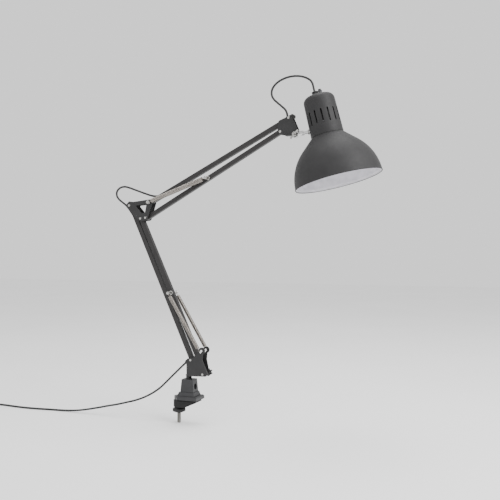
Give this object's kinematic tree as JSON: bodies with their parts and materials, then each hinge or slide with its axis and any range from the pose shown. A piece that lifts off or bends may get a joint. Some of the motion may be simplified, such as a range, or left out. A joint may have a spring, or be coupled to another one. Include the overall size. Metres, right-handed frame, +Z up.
{
  "type": "desk lamp",
  "caption": "Clamp-on architect desk lamp: two spring-balanced parallel-bar arms, a tilting and swivelling dome shade with a vented neck, and a mains cord with plug.",
  "frame": {"origin": "where the axis of the vertical socket meets the seat, which is the underside of the clamp's upper jaw", "axes": "+Z up along the socket, +X towards the lamp head in the plane of the arms, +Y to the side"},
  "size_m": [0.9598, 0.18, 0.7009],
  "materials": {
    "cast_black": "black satin enamel on cast metal",
    "cast_grey": "dark grey satin powder coat on cast metal",
    "grey_coat": "dark grey satin powder coat",
    "shade_coat": "dark grey satin outside, white inside",
    "black_plastic": "fine matt texture",
    "spring_wire": "drawn spring wire",
    "zinc": "bright zinc plate",
    "chrome": "polished",
    "rod_steel": "oiled thread",
    "cord_black": "soft matt sheath",
    "pin_brass": "nickel-plated brass"
  },
  "bodies": {
    "clamp": {"clamp_upper_jaw": "cast_grey", "clamp_rod": "rod_steel", "cord_coil": "cord_black", "coil_tie": "black_plastic", "cord_tail": "cord_black", "plug_body": "black_plastic", "plug_pins": "pin_brass", "mains_cord": "cord_black"},
    "lower_jaw": {"clamp_lower_jaw": "cast_black"},
    "clamp_knob": {"clamp_knob": "black_plastic"},
    "base": {"mounting_pin": "grey_coat", "base_bracket": "grey_coat", "base_pivot_bolts": "zinc", "base_spacers": "black_plastic", "cord_grip": "black_plastic"},
    "base_knob": {"base_tension_knob": "black_plastic"},
    "lower_main": {"lower_main_bar": "grey_coat", "cord_in_lower_arm": "cord_black", "cord_base_link": "cord_black"},
    "lower_follower": {"lower_follower_bar": "grey_coat", "lower_spring_pin": "zinc"},
    "lower_springs": {"lower_spring_near": "spring_wire", "lower_spring_far": "spring_wire"},
    "lower_spring_ends": {"lower_spring_hooks": "spring_wire"},
    "elbow": {"elbow_plate_near": "grey_coat", "elbow_plate_far": "grey_coat", "elbow_pins": "zinc", "elbow_spacers": "black_plastic", "elbow_loop_lower": "cord_black"},
    "upper_lower": {"upper_lower_bar": "grey_coat", "upper_spring_pin": "zinc"},
    "upper_spring": {"upper_spring": "spring_wire"},
    "upper_spring_end": {"upper_spring_hook": "spring_wire"},
    "upper_top": {"upper_top_bar": "grey_coat", "cord_in_upper_arm": "cord_black", "elbow_loop_upper": "cord_black"},
    "head": {"head_bracket": "grey_coat", "head_pins": "zinc", "head_spacers": "black_plastic", "tilt_bolt": "zinc", "tilt_washer": "zinc", "head_loop_rear": "cord_black"},
    "wing_nut": {"wing_nut": "zinc"},
    "knuckle": {"head_knuckle": "chrome"},
    "shade": {"shade_rod": "chrome", "shade_rod_nuts": "zinc", "shade_dome": "shade_coat", "shade_neck": "shade_coat", "lampholder": "black_plastic", "holder_nipple": "zinc", "cord_gland": "black_plastic", "switch_housing": "grey_coat", "head_loop_front": "cord_black"},
    "switch": {"switch_button": "black_plastic"}
  },
  "joints": [
    {"name": "jaw_slide", "type": "slide", "parent": "clamp", "child": "lower_jaw", "axis": [0, 0, -1], "range_m": [0, 0.02]},
    {"name": "clamp_knob_turn", "type": "hinge", "parent": "lower_jaw", "child": "clamp_knob", "pos_m": [-0.0226, 0, -0.022], "axis": [0, 0, 1], "continuous": true},
    {"name": "base_swivel", "type": "hinge", "parent": "clamp", "child": "base", "pos_m": [0, 0, 0.045], "axis": [0, 0, 1], "range_deg": [-120, 120], "deforming": ["mains_cord"]},
    {"name": "base_knob_turn", "type": "hinge", "parent": "base", "child": "base_knob", "pos_m": [0.0358, 0, 0.0546], "axis": [0, 1, 0], "continuous": true},
    {"name": "lower_arm", "type": "hinge", "parent": "base", "child": "lower_main", "pos_m": [0.0088, 0, 0.0826], "axis": [0, 1, 0], "range_deg": [-3, 60], "deforming": ["cord_base_link"]},
    {"name": "lower_follower", "type": "hinge", "parent": "base", "child": "lower_follower", "pos_m": [0.0358, 0, 0.0546], "axis": [0, 1, 0], "range_deg": [-3.5, 61]},
    {"name": "lower_spring_swing", "type": "hinge", "parent": "base", "child": "lower_springs", "pos_m": [0.0325, 0, 0.101], "axis": [0, 1, 0], "range_deg": [-4.5, 80]},
    {"name": "lower_spring_stretch", "type": "slide", "parent": "lower_springs", "child": "lower_spring_ends", "axis": [-0.5167, 0, 0.8562], "range_m": [-0.0005, 0.006], "deforming": ["lower_spring_near", "lower_spring_far", "lower_spring_hooks"]},
    {"name": "elbow_level", "type": "hinge", "parent": "lower_main", "child": "elbow", "pos_m": [-0.13661, 0, 0.40316], "axis": [0, 1, 0], "range_deg": [-61, 3.5], "deforming": ["elbow_loop_lower"]},
    {"name": "upper_arm", "type": "hinge", "parent": "elbow", "child": "upper_lower", "pos_m": [-0.09771, 0, 0.37656], "axis": [0, 1, 0], "range_deg": [-3, 50]},
    {"name": "upper_spring_swing", "type": "hinge", "parent": "elbow", "child": "upper_spring", "pos_m": [-0.08711, 0, 0.40846], "axis": [0, 1, 0], "range_deg": [-3.5, 54]},
    {"name": "upper_spring_stretch", "type": "slide", "parent": "upper_spring", "child": "upper_spring_end", "axis": [0.9431, 0, 0.3325], "range_m": [-0.002, 0.0285], "deforming": ["upper_spring", "upper_spring_hook"]},
    {"name": "upper_follower", "type": "hinge", "parent": "elbow", "child": "upper_top", "pos_m": [-0.08711, 0, 0.40846], "axis": [0, 1, 0], "range_deg": [-3.5, 51], "deforming": ["elbow_loop_upper"]},
    {"name": "head_level", "type": "hinge", "parent": "upper_lower", "child": "head", "pos_m": [0.20111, 0, 0.54084], "axis": [0, 1, 0], "range_deg": [-63, 5]},
    {"name": "wing_nut_turn", "type": "hinge", "parent": "head", "child": "wing_nut", "pos_m": [0.23111, 0, 0.53384], "axis": [0, 1, 0], "continuous": true},
    {"name": "head_tilt", "type": "hinge", "parent": "head", "child": "knuckle", "pos_m": [0.23111, 0, 0.53384], "axis": [0, 1, 0], "range_deg": [-40, 50], "deforming": ["head_loop_rear"]},
    {"name": "shade_turn", "type": "hinge", "parent": "knuckle", "child": "shade", "pos_m": [0.24299, 0, 0.53551], "axis": [0.9903, 0, 0.1392], "range_deg": [-45, 45], "deforming": ["head_loop_front"]},
    {"name": "switch_press", "type": "slide", "parent": "shade", "child": "switch", "axis": [0.2419, 0, -0.9703], "range_m": [0, 0.0025], "stiffness_N_per_m": 400, "springref_m": -0.0005}
  ],
  "couplings": [
    {"joint": "lower_follower", "follows": "lower_arm", "ratio": 1},
    {"joint": "elbow_level", "follows": "lower_arm", "ratio": -1},
    {"joint": "upper_follower", "follows": "upper_arm", "ratio": 0.9773},
    {"joint": "head_level", "follows": "upper_arm", "ratio": -1.2233},
    {"joint": "lower_spring_swing", "follows": "lower_arm", "ratio": 1.31},
    {"joint": "lower_spring_stretch", "follows": "lower_arm", "m_per_rad": 0.0052},
    {"joint": "upper_spring_swing", "follows": "upper_arm", "ratio": 1.06},
    {"joint": "upper_spring_stretch", "follows": "upper_arm", "m_per_rad": 0.0319}
  ]
}
